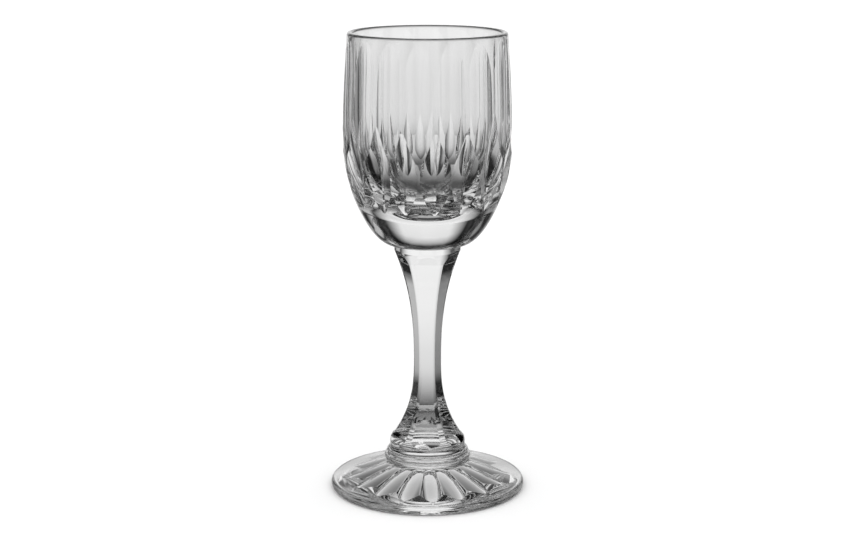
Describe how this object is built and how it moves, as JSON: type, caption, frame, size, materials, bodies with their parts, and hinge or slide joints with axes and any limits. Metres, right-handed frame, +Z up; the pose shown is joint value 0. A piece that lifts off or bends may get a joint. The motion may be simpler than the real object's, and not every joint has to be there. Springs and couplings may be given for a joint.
{
  "type": "cordial glass",
  "caption": "Stemmed cordial glass of clear cut crystal: panelled bowl with pointed mitre cuts, faceted stem, collar, and a round foot with a star cut underneath.",
  "frame": {"origin": "middle of the foot's underside, on the table", "axes": "+Z up along the glass's axis towards the rim, -Y towards the viewer of the picture"},
  "size_m": [0.0554, 0.0554, 0.13],
  "materials": {
    "crystal": "polished clear"
  },
  "bodies": {
    "root": {"bowl": "crystal", "stem": "crystal", "collar": "crystal", "foot": "crystal"}
  },
  "joints": []
}
